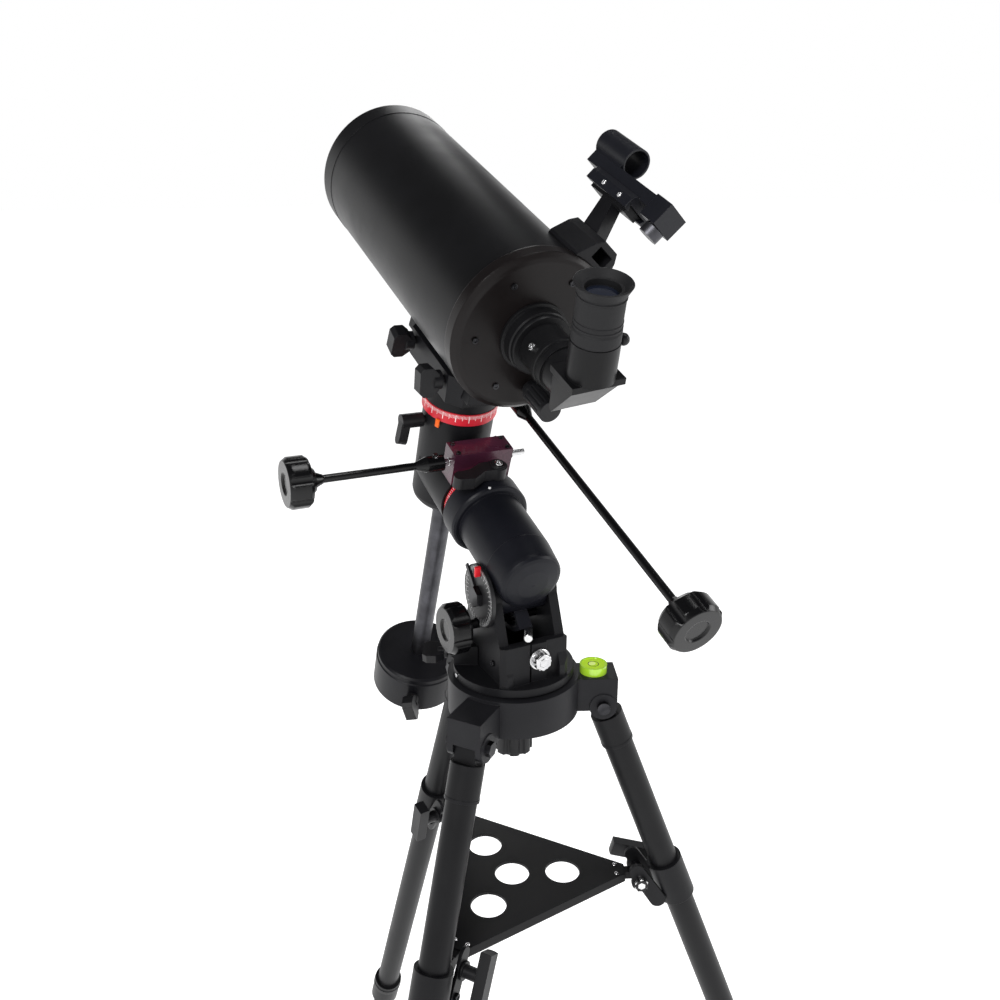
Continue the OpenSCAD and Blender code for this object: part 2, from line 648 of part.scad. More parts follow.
module dec_worm_block() color("#161618") decl() difference() {
    box(drum_in - 4, worm_c + 12, -block_len / 2, block_len / 2, dec_drum_z + 0.4, saddle_z - 0.4);
    translate([0, 0, dec_drum_z - 1]) cylinder(h = 40, r = drum_r + 0.05);
    translate([worm_c, -block_len, dec_worm_z]) along_y()
        cylinder(h = 2 * block_len, r = journal_r + run);
    translate([worm_c, -15, dec_worm_z]) along_y() cylinder(h = 30, r = worm_r + 0.5);
}

module dec_worm() color("#c9c9cc") decl() translate([worm_c, 0, dec_worm_z]) rotate([0, 0, 90])
    worm(block_len / 2 + 14, block_len / 2 + 8);

module dec_control() color("#19191b") decl()
    translate([worm_c, -block_len / 2 - 6, dec_worm_z]) rotate([0, 0, 90]) control(dec_rod);

// ---- counterweight ----

module counterweight_shaft() color("#1c1c1e") decl() mirror([0, 0, 1]) {
    translate([0, 0, -dec_low - 10]) cylinder(h = cw_end + dec_low + 10, r = cw_shaft_r);
    translate([0, 0, -dec_low + 0.05]) cylinder(h = 14, r = cw_shaft_r + 2.5);
    translate([0, 0, cw_end]) cylinder(h = 5, r = 14);
}

module counterweight() color("#18181a") decl() difference() {
    translate([0, 0, -cw_pos - cw_h / 2]) rotate_extrude() polygon([[0, 0], [cw_r - 3, 0],
        [cw_r, 3], [cw_r, cw_h - 8], [cw_r - 1, cw_h - 7], [cw_r - 1, cw_h - 2],
        [cw_r - 3, cw_h], [0, cw_h]]);
    translate([0, 0, -cw_pos - cw_h]) cylinder(h = 2 * cw_h, r = cw_shaft_r + run);
    translate([0, 0, -cw_pos]) rotate([0, 0, cw_knob_turn]) along_x()
        cylinder(h = cw_r + 1, r = 5 + run);
}

module counterweight_knob() color("#19191b") decl() translate([0, 0, -cw_pos])
    rotate([0, 0, cw_knob_turn]) translate([cw_shaft_r + 0.4, 0, 0]) rotate([0, 90, 0])
        rotate([0, 0, 20]) wing_screw(cw_r - cw_shaft_r + 2, 5, 26, 19, 11);

// ---- saddle ----

module bar_shape(wide, narrow, h) polygon([[-wide / 2, 0], [wide / 2, 0], [wide / 2, 2],
    [narrow / 2, h - 2], [narrow / 2, h], [-narrow / 2, h], [-narrow / 2, h - 2],
    [-wide / 2, 2]]);

module saddle() color("#19191b") decl() difference() {
    union() {
        translate([0, 0, dec_drum_z]) cylinder(h = dec_drum_h + eps, r = drum_r);
        box(-saddle_w / 2, saddle_w / 2, saddle_y0, saddle_y1, saddle_z, bar_z + jaw_h);
    }
    translate([0, 0, dec_drum_z - 1]) cylinder(h = dec_drum_h + 1, r = drum_in);
    translate([0, 0, dec_drum_z - 1]) cylinder(h = dec_drum_h + 5.2, r = dec_shaft_d / 2 + 0.03);
    box(20, 60, -15.5, 15.5, dec_drum_z - 1, saddle_z);
    translate([0, saddle_y1 + 1, bar_z]) rotate([90, 0, 0])
        linear_extrude(saddle_y1 - saddle_y0 + 2) bar_shape(bar_w + 0.8, bar_top_w + 0.8, bar_h);
    for (y = saddle_knob_y) translate([-60, y, saddle_knob_z]) along_x()
        cylinder(h = 40, r = 3.5 + run);
    for (side = [-1, 1]) for (end = [0, 1])
        translate([side * saddle_w / 2, end == 0 ? saddle_y0 : saddle_y1, saddle_z - 1])
            rotate([0, 0, 45]) box(-8, 8, -8, 8, 0, 60);
}

module saddle_knob(i) color("#1c1c24") decl()
    translate([-saddle_grip, saddle_knob_y[i - 1], saddle_knob_z]) rotate([0, -90, 0])
        rotate([0, 0, i == 1 ? 10 : -12]) wing_screw(saddle_w / 2 - saddle_grip + 3, 3.5, 25, 17, 13);

module dovetail_bar() color("#19191b") decl() difference() {
    translate([0, 80, bar_z + 0.05]) rotate([90, 0, 0]) linear_extrude(135)
        bar_shape(bar_w, bar_top_w, bar_h);
    translate([0, -100, ota_h]) along_y() cylinder(h = 300, r = ota_r + 0.05);
}

// ---- telescope ----

module ota_tube() color("#141415") scope() translate([0, cell_rear, 0]) along_y()
    tube(ota_len - cell_rear - cell_front, ota_r, ota_in);

module front_cell() color("#141415") scope() translate([0, ota_len - cell_front, 0]) along_y()
    rotate_extrude() polygon([[ota_in - 8, -5], [ota_in - 0.05, -5], [ota_in - 0.05, 0],
        [ota_r + 0.3, 0], [ota_r + 0.3, cell_front - 1.5], [ota_r - 1.2, cell_front],
        [ota_in - 3, cell_front], [ota_in - 3, 6], [ota_in - 8, 6]]);

lens_r = ota_in - 3.05;           // meniscus corrector, bowed into the tube
lens_t = 9;
lens_sag = 11;
module corrector_lens() color("#56707a") scope() translate([0, ota_len - cell_front + 8.05, 0])
    along_y() rotate_extrude() polygon(concat(
        [for (i = [0 : 16]) let (x = lens_r * i / 16)
            [x, -lens_sag * (1 - pow(x / lens_r, 2))]],
        [for (i = [16 : -1 : 0]) let (x = lens_r * i / 16)
            [x, lens_t - lens_sag * (1 - pow(x / lens_r, 2))]]));

module rear_cell() color("#171718") scope() along_y() difference() {
    rotate_extrude() polygon([[21, plate_y], [ota_r - 6, plate_y], [ota_r - 3, plate_y + 0.8],
        [ota_r - 0.8, plate_y + 2.4], [ota_r + 0.6, 0], [ota_r + 0.6, cell_rear],
        [ota_in - 0.05, cell_rear], [ota_in - 0.05, cell_rear + 8], [ota_in - 4, cell_rear + 8],
        [ota_in - 4, plate_y + plate_t], [21, plate_y + plate_t]]);
    translate([focus_x, -focus_z, plate_y - 1]) cylinder(h = 20, r = 3 + run);
}

module primary_mirror() color("#c8d2d8") scope() along_y() difference() {
    rotate_extrude() polygon(concat([[18.2, 20], [mirror_r - 4, 20], [mirror_r - 4, 24],
        [mirror_r, 24], [mirror_r, 41]],
        [for (i = [7 : -1 : 0]) let (x = 18.2 + (mirror_r - 18.2) * i / 8)
            [x, 36.5 + 4.5 * pow(x / mirror_r, 2)]]));
    translate([focus_x, -focus_z, 0]) cylinder(h = 33, r = 3 + run);
}

module baffle_tube() color("#101011") scope() along_y() rotate_extrude() polygon([
    [16, plate_y + plate_t + 0.05], [24, plate_y + plate_t + 0.05], [24, 8], [18, 10],
    [18, 60], [14.5, 190], [13, 190], [16.5, 60], [16.5, 10]]);

module visual_back() color("#151517") scope() along_y() difference() {
    union() {
        rotate_extrude() polygon([[16.2, back_y], [port_r + 2, back_y], [back_r - 1, back_y],
            [back_r, back_y + 1], [back_r, plate_y - 3], [back_r + 2, plate_y - 2.6],
            [back_r + 2, plate_y - 0.05], [20.9, plate_y - 0.05], [20.9, plate_y + plate_t],
            [16.2, plate_y + plate_t]]);
        translate([0, 0, port_end]) tube(back_y - port_end + 1, port_r, ep_barrel_r + 0.05);
    }
    translate([0, 0, port_end - 1]) cylinder(h = 60, r = ep_barrel_r + 0.05);
}

module diagonal() color("#131316") scope() rotate([0, ep_turn, 0]) difference() {
    union() {
        // nose barrel in the visual back
        translate([0, port_end + 16, 0]) along_y() mirror([0, 0, 1])
            cylinder(h = 16 + port_end - ep_y - prism + 2, r = ep_barrel_r);
        translate([0, port_end - 0.3, 0]) along_y() mirror([0, 0, 1]) cylinder(h = 6, r = port_r);
        translate([0, port_end - 6, 0]) along_y() mirror([0, 0, 1])
            cylinder(h = port_end - 6 - ep_y - prism + 1, r = port_r - 1.5);
        // prism housing, its slanting back and the flat plate under the eyepiece holder
        translate([-prism + 1, 0, 0]) rotate([90, 0, 90]) linear_extrude(2 * prism - 2)
            polygon([[ep_y + prism, 16], [ep_y + prism, -17], [ep_y + prism - 3, -19],
                [ep_y - 9, 11], [ep_y - 9, 16]]);
        box(-prism - 1, prism + 2, ep_y - 12, ep_y + prism + 1, 13, 18);
        translate([0, ep_y, 17]) cylinder(h = 28.3, r = port_r - 1.8);
    }
    translate([0, ep_y, 22]) cylinder(h = 40, r = ep_barrel_r + 0.05);
    translate([0, port_end + 17, 0]) along_y() mirror([0, 0, 1]) cylinder(h = 24, r = 13.5);
}

module eyepiece() color("#19191b") scope() rotate([0, ep_turn, 0]) translate([0, ep_y, 0])
    difference() {
        rotate_extrude() polygon([[0, 24], [ep_barrel_r, 24], [ep_barrel_r, 45.6],
            [16.8, 45.6], [16.8, 54], [16.2, 55], [16.2, 79], [17, 81], [19.7, 86.5],
            [18.6, 86.9], [14, 82.5], [12, 82.5], [12, 78], [0, 78]]);
        translate([0, 0, 23]) cylinder(h = 16, r = 14);
    }

module focus_knob() color("#1a1a1c") scope() translate([focus_x, 0, focus_z]) along_y() {
    translate([0, 0, -30]) cylinder(h = 30 + 31.5, r = 3);
    translate([0, 0, -41]) difference() {
        cylinder(h = 29, r = 9);
        for (i = [0 : 11]) rotate([0, 0, 30 * i]) translate([9.6, 0, 4])
            cylinder(h = 22, r = 1.2, $fn = 16);
    }
    translate([0, 0, -12]) cylinder(h = 5, r = 7);
}

// ---- red-dot finder ----

module finder_base() color("#1a1a1c") finder() {
    difference() {
        translate([0, 45, 0]) rotate([90, 0, 0]) linear_extrude(43)
            polygon([[-19, -6], [19, -6], [19, 0], [13, 14], [8, 20], [-8, 20], [-13, 14],
                [-19, 0]]);
        translate([0, -20, -ota_r]) along_y() cylinder(h = 80, r = ota_r + 0.05);
        translate([0, -20, -ota_r]) along_y() cylinder(h = 20.3 + cell_rear, r = ota_r + 0.8);
        box(-8, 8, 1, 20, 5, 15);
    }
    // slanting arm and the rail that the sight clamps on
    rotate([90, 0, 90]) translate([0, 0, -6]) linear_extrude(12)
        polygon([[18, 20 - eps], [38, 20 - eps], [45, 45], [31, 45]]);
    translate([0, 62, 0]) rotate([90, 0, 0]) linear_extrude(50)
        polygon([[-7, 44], [7, 44], [7, 46], [10, 50], [-10, 50], [-7, 46]]);
}

module finder_body() color("#16161a") finder() difference() {
    union() {
        translate([0, 66, 0]) rotate([90, 0, 0]) linear_extrude(58) difference() {
            polygon([[-13, 46.3], [13, 46.3], [13, 54], [10, 58], [-10, 58], [-13, 54]]);
            polygon([[-10.3, 42], [7.4, 42], [7.4, 46], [10.3, 50.3], [-10.3, 50.3],
                [-7.4, 46], [-7.4, 42]]);
        }
        box(-8.5, 8.5, -20, 86, 57, 67);
        box(-10.5, 10.5, -24, -5, 50, 68);
        translate([0, 48, 77.5]) along_y() cylinder(h = 42, r = 11.6);
        box(-8, 8, 50, 86, 66, 78);
    }
    translate([0, 47, 77.5]) along_y() cylinder(h = 44, r = 10.2);
    translate([0, -17, 40]) cylinder(h = 20, r = 3 + run);
}

module finder_knob() color("#2a2a2c") finder() translate([0, -17, 42]) {
    cylinder(h = 17.5, r = 3);
    cylinder(h = 7.5, r = 8);
}

tripod_hub();
bubble_level();
hinge_bolts();
hub_knob();
tray();
upper_leg(1);  // upper_leg_1
upper_leg(2);  // upper_leg_2
upper_leg(3);  // upper_leg_3
tray_bracket(1);  // tray_bracket_1
tray_bracket(2);  // tray_bracket_2
tray_bracket(3);  // tray_bracket_3
tray_knob(1);  // tray_knob_1
tray_knob(2);  // tray_knob_2
tray_knob(3);  // tray_knob_3
lower_leg(1);  // lower_leg_1
lower_leg(2);  // lower_leg_2
lower_leg(3);  // lower_leg_3
azimuth_base();
latitude_scale();
altitude_axle();
latitude_knob();
azimuth_knob();
base_bolt();
ra_housing();
ra_end_cap();
ra_lever();
ra_circle();
ra_wheel();
ra_shaft();
ra_worm_block();
ra_worm();
ra_control();
dec_housing();
dec_lever();
dec_circle();
dec_wheel();
dec_shaft();
dec_worm_block();
dec_worm();
dec_control();
counterweight_shaft();
counterweight();
counterweight_knob();
saddle();
saddle_knob(1);  // saddle_knob_1
saddle_knob(2);  // saddle_knob_2
dovetail_bar();
ota_tube();
front_cell();
corrector_lens();
rear_cell();
primary_mirror();
baffle_tube();
visual_back();
diagonal();
eyepiece();
focus_knob();
finder_base();
finder_body();
finder_knob();
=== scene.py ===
# Small Maksutov telescope on an equatorial mount and a tube tripod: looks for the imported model.
import math
import bpy
import bmesh
from mathutils import Matrix, Vector


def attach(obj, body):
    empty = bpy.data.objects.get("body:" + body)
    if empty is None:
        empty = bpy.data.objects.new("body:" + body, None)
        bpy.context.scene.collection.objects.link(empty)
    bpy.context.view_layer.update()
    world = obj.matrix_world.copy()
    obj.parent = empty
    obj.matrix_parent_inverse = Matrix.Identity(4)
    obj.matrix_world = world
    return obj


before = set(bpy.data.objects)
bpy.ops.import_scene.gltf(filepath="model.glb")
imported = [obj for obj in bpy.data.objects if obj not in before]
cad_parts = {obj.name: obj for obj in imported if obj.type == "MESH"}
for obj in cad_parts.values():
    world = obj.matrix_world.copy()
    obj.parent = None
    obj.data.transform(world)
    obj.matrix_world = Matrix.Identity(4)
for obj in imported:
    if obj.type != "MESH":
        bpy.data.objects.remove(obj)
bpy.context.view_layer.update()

# ---------------------------------------------------------------- shader writing


class Value:
    """A number that changes over a surface: a socket with the usual operators."""

    def __init__(self, paint, socket):
        self.paint = paint
        self.socket = socket

    def math(self, operation, *terms):
        return self.paint.node("ShaderNodeMath", {"operation": operation}, dict(enumerate(terms)))

    def __add__(self, other):
        return self.math("ADD", self, other)

    __radd__ = __add__

    def __sub__(self, other):
        return self.math("SUBTRACT", self, other)

    def __rsub__(self, other):
        return self.math("SUBTRACT", other, self)

    def __mul__(self, other):
        return self.math("MULTIPLY", self, other)

    __rmul__ = __mul__

    def __truediv__(self, other):
        return self.math("DIVIDE", self, other)

    def __pow__(self, other):
        return self.math("POWER", self, other)

    def __mod__(self, other):
        return self.math("FLOORED_MODULO", self, other)

    def __lt__(self, other):
        return self.math("LESS_THAN", self, other)

    def __gt__(self, other):
        return self.math("GREATER_THAN", self, other)

    def __abs__(self):
        return self.math("ABSOLUTE", self)

    def clamp(self):
        return self.paint.node("ShaderNodeClamp", {}, {0: self})

    def steps(self, low, high):
        """0 below low, 1 above high, and a smooth step between."""
        return self.paint.node("ShaderNodeMapRange", {"interpolation_type": "SMOOTHSTEP"},
                               {0: self, 1: low, 2: high, 3: 0.0, 4: 1.0})


class NodeWriter:
    """Writes the nodes of a material or of the world."""

    def __init__(self, owner):
        owner.use_nodes = True
        self.tree = owner.node_tree
        self.tree.nodes.clear()

    def end(self, kind, socket):
        """The output node, and what it shows."""
        self.tree.links.new(socket, self.tree.nodes.new(kind).inputs[0])

    def feed(self, socket, value):
        if isinstance(value, Value):
            self.tree.links.new(value.socket, socket)
        else:
            socket.default_value = value

    def node(self, kind, settings, sockets, output=0):
        """One node: its settings first, then the values or links of its sockets."""
        made = self.tree.nodes.new(kind)
        for key, value in settings.items():
            if key == "stops":
                ramp = made.color_ramp.elements
                while len(ramp) < len(value):
                    ramp.new(0.5)
                for stop, (place, colour) in zip(ramp, value):
                    stop.position = place
                    stop.color = (*colour, 1.0)
            else:
                setattr(made, key, value)
        for key, value in sockets.items():
            self.feed(made.inputs[key], value)
        return Value(self, made.outputs[output])


class Paint(NodeWriter):
    """One finish: its material and the nodes behind it."""

    def __init__(self, name):
        self.material = bpy.data.materials.new(name)
        super().__init__(self.material)
        self.shader = self.tree.nodes.new("ShaderNodeBsdfPrincipled")
        self.end("ShaderNodeOutputMaterial", self.shader.outputs[0])

    def place(self):
        return self.node("ShaderNodeTexCoord", {}, {}, "Object")

    def around(self, matrix):
        """Object coordinates in a piece's own frame."""
        back = matrix.inverted()
        return self.node("ShaderNodeMapping", {"vector_type": "POINT"},
                         {"Vector": self.place(), "Location": back.to_translation(),
                          "Rotation": back.to_euler("XYZ")})

    def part(self, vector, axis):
        return self.node("ShaderNodeSeparateXYZ", {}, {0: vector}, axis)

    def noise(self, where, scale, detail=3.0, rough=0.55):
        return self.node("ShaderNodeTexNoise", {}, {"Vector": where, "Scale": scale,
                                                    "Detail": detail, "Roughness": rough})

    def cells(self, where, scale):
        return self.node("ShaderNodeTexVoronoi", {}, {"Vector": where, "Scale": scale})

    def mix(self, factor, first, second):
        """From the first colour at 0 to the second at 1."""
        made = self.tree.nodes.new("ShaderNodeMix")
        made.data_type = "RGBA"
        self.feed(made.inputs["Factor"], factor)
        for socket, colour in ((made.inputs[6], first), (made.inputs[7], second)):
            self.feed(socket, colour if isinstance(colour, Value) else (*colour, 1.0))
        return Value(self, made.outputs[2])

    def relief(self, height, depth, edge=0.0006):
        """Bumps as deep as depth, over edges rounded to a radius, both in metres."""
        rounded = self.node("ShaderNodeBevel", {"samples": 4}, {"Radius": edge})
        return self.node("ShaderNodeBump", {}, {"Strength": 1.0, "Distance": depth,
                                                "Height": height, "Normal": rounded})

    def finish(self, **sockets):
        for key, value in sockets.items():
            self.feed(self.shader.inputs[key.replace("_", " ")], value)
        return self.material


def dust(paint, where):
    """Faint handling marks and dust, 0 clean to 1 marked."""
    broad = paint.noise(where, 14.0, 4.0, 0.6)
    fine = paint.noise(where, 160.0, 2.0, 0.6)
    return (broad.steps(0.45, 0.8) * 0.6 + fine.steps(0.62, 0.8) * 0.4).clamp()


def enamel(name, low, high, rough, grain=900.0, depth=0.00004, edge=0.0008, coat=0.0):
    """Painted castings and tubes: a fine orange peel, uneven gloss, a little dust."""
    paint = Paint(name)
    where = paint.place()
    cloud = paint.noise(where, 22.0, 4.0)
    peel = paint.noise(where, grain, 2.0, 0.5)
    marks = dust(paint, where)
    colour = paint.mix(cloud.steps(0.3, 0.7) * 0.8 + marks * 0.2, low, high)
    gloss = rough + (cloud - 0.5) * 0.16 + marks * 0.08
    return paint.finish(Base_Color=colour, Roughness=gloss, Coat_Weight=coat,
                        Coat_Roughness=0.12, Specular_IOR_Level=0.16,
                        Normal=paint.relief(peel + cloud * 0.3, depth, edge))


def moulding(name, low, high, rough, edge=0.0008):
    """Moulded plastic: spark-eroded grain and soft sheen."""
    paint = Paint(name)
    where = paint.place()
    grain = paint.cells(where, 1400.0)
    cloud = paint.noise(where, 40.0, 3.0)
    marks = dust(paint, where)
    return paint.finish(Base_Color=paint.mix(cloud * 0.7 + marks * 0.3, low, high),
                        Roughness=rough + (cloud - 0.5) * 0.14 + grain * 0.05,
                        Specular_IOR_Level=0.28,
                        Normal=paint.relief(grain, 0.00003, edge))


def turned_metal(name, low, high, rough):
    """Bare or blackened metal with a fine tooled grain."""
    paint = Paint(name)
    where = paint.place()
    rings = paint.noise(where, 1500.0, 2.0)
    cloud = paint.noise(where, 60.0, 4.0)
    return paint.finish(Base_Color=paint.mix(cloud.steps(0.25, 0.75), low, high), Metallic=1.0,
                        Roughness=rough + (rings - 0.5) * 0.12 + (cloud - 0.5) * 0.1,
                        Normal=paint.relief(rings, 0.00001, 0.0003))


DIAL_INK = (0.85, 0.85, 0.85)
DIAL_RED_LOW, DIAL_RED_HIGH = (0.50, 0.006, 0.018), (0.66, 0.012, 0.030)
TICK_TOP = 0.10      # how far the ticks stop short of the band's edge, as a share of the band


def dial(name, matrix, radius, count, band):
    """A graduated ring about the matrix's z: ticks on its rim, every fifth and tenth longer."""
    paint = Paint(name)
    where = paint.around(matrix)
    x, y, z = (paint.part(where, i) for i in range(3))
    turn = x.math("ARCTAN2", y, x) / (2.0 * math.pi) + 0.5
    reach = (x * x + y * y) ** 0.5
    low, high = band
    span = high - low

    def ticks(number, half_width, foot):
        share = abs((turn * number) % 1.0 - 0.5)
        arc = half_width * number / (2.0 * math.pi * radius)
        return ((share > 0.5 - arc) * (z > low + span * foot)
                * (z < high - span * TICK_TOP))

    mask = ticks(count, 0.00016, 0.62)
    for number, half_width, foot in ((count / 5, 0.00022, 0.48), (count / 10, 0.00034, 0.30)):
        mask = mask.math("MAXIMUM", mask, ticks(number, half_width, foot))
    on_rim = reach > radius - 0.0006
    mask = mask * on_rim
    wear = paint.noise(where, 300.0, 3.0)
    ink_share = mask * wear.steps(0.2, 0.4)
    cloud = paint.noise(where, 45.0, 3.0)
    ground = paint.mix(cloud, DIAL_RED_LOW, DIAL_RED_HIGH)
    return paint.finish(Base_Color=paint.mix(ink_share, ground, DIAL_INK), Metallic=0.0,
                        Roughness=0.36 + cloud * 0.1 + mask * 0.15,
                        Normal=paint.relief(wear * 0.3 + mask, 0.00004, 0.0004))


# ---------------------------------------------------------------- frames of the mount

LEG_LEN = 0.7                       # hinge pin to sole, along the leg
LEG_TILT = math.radians(20.8)       # each leg's lean from upright
LEG_TURN = math.radians(-23.5)      # where leg 1 stands round the tripod
HINGE_R = 0.0767                    # the leg hinges' distance from the azimuth axis
HINGE_Z = LEG_LEN * math.cos(LEG_TILT)
HUB_DROP, HUB_HEIGHT = 0.004, 0.0335   # the hub's underside below the hinge pins, and its height
BASE_GAP = 0.0019                   # the turntable's underside above the hub
PIVOT_HEIGHT = 0.074                # the altitude pivot above the turntable's underside
TRAY_DROP = 0.1825                  # the tray's top below the hinge pins
BRACKET_REACH = 0.0275              # the tray's bolts, inwards from the leg's axis

TRAY_Z = HINGE_Z - TRAY_DROP
HUB_TOP = HINGE_Z - HUB_DROP + HUB_HEIGHT
BASE_Z = HUB_TOP + BASE_GAP
PIVOT_Z = BASE_Z + PIVOT_HEIGHT
PIN_R = HINGE_R + TRAY_DROP * math.tan(LEG_TILT) - BRACKET_REACH


def shift(x, y, z):
    return Matrix.Translation((x, y, z))


def turn(degrees, axis):
    return Matrix.Rotation(math.radians(degrees), 4, axis)


PIVOT = shift(0, 0, PIVOT_Z)
POLAR = PIVOT @ turn(21, "X")
RA_AXIS = POLAR @ shift(0, 0, 0.0276)
DECL = RA_AXIS @ shift(0, 0.1482, 0)
SCOPE = DECL @ shift(0, -0.0937, 0.1837)
FINDER = SCOPE @ turn(40, "Y") @ shift(0, 0, 0.0645)
DIAGONAL = SCOPE @ turn(-6.3, "Y")
ALONG_Y = turn(-90, "X")
ALONG_X = turn(90, "Y")
TO_REAR = turn(90, "X")
WORM_Y = 0.09915                    # the polar worm box's middle, along the polar axis
EYE_Y = -0.0878                     # the eyepiece's axis, behind the tube's rear cell
SUNK = 0.0006                       # how deep a screw's or nut's foot stands in its seat


def leg_side(k):
    """The upright frame that faces leg k."""
    return Matrix.Rotation(LEG_TURN + math.radians(120 * (k - 1)), 4, "Z")


def leg_frame(k):
    """Leg k's own frame: its hinge pin at the origin, and z down the leg."""
    return leg_side(k) @ shift(HINGE_R, 0, HINGE_Z) @ Matrix.Rotation(math.pi - LEG_TILT, 4, "Y")


# ---------------------------------------------------------------- finishes

casting = enamel("casting_black", (0.0050, 0.0050, 0.0059), (0.0084, 0.0084, 0.0097), 0.42)
tube_black = enamel("tube_satin_black", (0.0042, 0.0042, 0.0046), (0.0059, 0.0059, 0.0067), 0.34,
                    1500.0, 0.000012)
cell_black = enamel("cell_brown_black", (0.0059, 0.0046, 0.0046), (0.0084, 0.0067, 0.0067), 0.30,
                    1200.0, 0.000012, 0.0016)
leg_black = enamel("leg_powder_black", (0.0046, 0.0046, 0.0055), (0.0076, 0.0076, 0.0084), 0.40,
                   1100.0, 0.00003)
polar_blue = enamel("polar_blue_black", (0.0055, 0.0059, 0.0084), (0.0084, 0.0088, 0.0126), 0.38)
# The violet base colour is a painted sheen: the red-purple sheen on the black worm box is painted
# into the colour of the whole box.
painted_sheen_violet = enamel("worm_box_painted_sheen", (0.040, 0.010, 0.022), (0.075, 0.016, 0.036), 0.26,
                700.0, 0.00002, 0.0007, 0.5)
hub_grey = enamel("hub_grey_black", (0.0092, 0.0092, 0.0109), (0.0143, 0.0143, 0.0164), 0.46)
weight_black = enamel("weight_black", (0.0050, 0.0050, 0.0063), (0.0084, 0.0084, 0.0105), 0.36)
tray_black = enamel("tray_black", (0.0034, 0.0034, 0.0038), (0.0059, 0.0059, 0.0067), 0.48)
anodised = enamel("anodised_black", (0.0046, 0.0046, 0.0050), (0.0071, 0.0071, 0.0080), 0.36,
                  2200.0, 0.00001, 0.0005)
knob_gloss = moulding("knob_gloss_black", (0.0025, 0.0025, 0.0029), (0.0042, 0.0042, 0.0046), 0.13,
                      0.0016)
knob_satin = moulding("knob_satin_black", (0.0050, 0.0050, 0.0059), (0.0084, 0.0084, 0.0097), 0.42)
rubber = moulding("eyecup_rubber", (0.0059, 0.0059, 0.0067), (0.0101, 0.0101, 0.0113), 0.62)
sight_blue = moulding("sight_blue_black", (0.0050, 0.0055, 0.0080), (0.0084, 0.0088, 0.0126), 0.36)
rod_dark = turned_metal("rod_dark", (0.05, 0.05, 0.055), (0.09, 0.09, 0.10), 0.42)
screw_black = turned_metal("screw_black", (0.0126, 0.0126, 0.0139), (0.06, 0.06, 0.065), 0.34)
silver = turned_metal("bright_steel", (0.50, 0.50, 0.51), (0.72, 0.72, 0.72), 0.24)
brass = turned_metal("wheel_brass", (0.50, 0.36, 0.14), (0.66, 0.50, 0.22), 0.30)
red_paint = enamel("pointer_red", (0.55, 0.010, 0.020), (0.70, 0.020, 0.030), 0.35)
orange_paint = enamel("pointer_orange", (0.75, 0.10, 0.01), (0.85, 0.16, 0.02), 0.4)
white_ink = moulding("dial_white", (0.70, 0.70, 0.70), (0.82, 0.82, 0.82), 0.5, 0.0001)
ra_dial = dial("ra_dial_red", RA_AXIS @ shift(0, 0.0804, 0) @ ALONG_Y, 0.0307, 96,
               (0.0, 0.008))
dec_dial = dial("dec_dial_red", DECL @ shift(0, 0, 0.0596), 0.0336, 180, (0.0, 0.0113))


def corrector_glass():
    """The meniscus lens: tinted, see-through glass with a silvered spot at its middle."""
    paint = Paint("corrector_glass")
    where = paint.around(SCOPE @ ALONG_Y)
    x, y = paint.part(where, 0), paint.part(where, 1)
    reach = (x * x + y * y) ** 0.5
    spot = reach < 0.0155               # the secondary mirror's radius
    bloom = paint.noise(where, 30.0, 2.0)
    paint.shader.inputs["IOR"].default_value = 1.5
    return paint.finish(Base_Color=paint.mix(spot, (0.30, 0.42, 0.40), (0.75, 0.77, 0.78)),
                        Roughness=0.03 + bloom * 0.02, Metallic=spot,
                        Alpha=0.32 + spot * 0.68, Coat_Weight=1.0, Coat_Roughness=0.02,
                        Coat_Tint=(0.65, 0.85, 1.0, 1.0))


def mirror_silver():
    """The aluminised face of the primary mirror."""
    paint = Paint("mirror_aluminised")
    where = paint.around(SCOPE @ ALONG_Y)
    haze = paint.noise(where, 25.0, 3.0)
    return paint.finish(Base_Color=paint.mix(haze, (0.80, 0.82, 0.84), (0.88, 0.89, 0.90)),
                        Metallic=1.0, Roughness=0.04 + haze * 0.03)


def bubble_fluid():
    """The level seen from above: green fluid, its centring ring, a bubble off the middle, and a
    faint painted glow.
    """
    paint = Paint("level_green")
    centre = leg_side(1) @ shift(HINGE_R - 0.0075, 0, 0)
    where = paint.around(centre)
    x, y = paint.part(where, 0), paint.part(where, 1)
    reach = (x * x + y * y) ** 0.5
    ring_r, ring_half, bubble_r, cup_r = 0.0045, 0.00035, 0.0032, 0.0103
    off_x, off_y = x + 0.0012, y - 0.0008
    ring = abs(reach - ring_r) < ring_half
    bubble = (off_x * off_x + off_y * off_y) ** 0.5 < bubble_r
    rim = reach > cup_r
    body = paint.mix(bubble, (0.46, 0.72, 0.02), (0.72, 0.90, 0.25))
    body = paint.mix(ring, body, (0.05, 0.09, 0.01))
    body = paint.mix(rim, body, (0.36, 0.62, 0.03))
    mottle = paint.noise(where, 200.0, 2.0)
    # The emission is a painted glow: the level gives off light in its own green, though it is no
    # lamp.
    return paint.finish(Base_Color=body, Roughness=0.10 + mottle * 0.08, Coat_Weight=0.8,
                        Coat_Roughness=0.03, Emission_Color=body, Emission_Strength=0.12,
                        Normal=paint.relief(mottle, 0.00002, 0.0005))


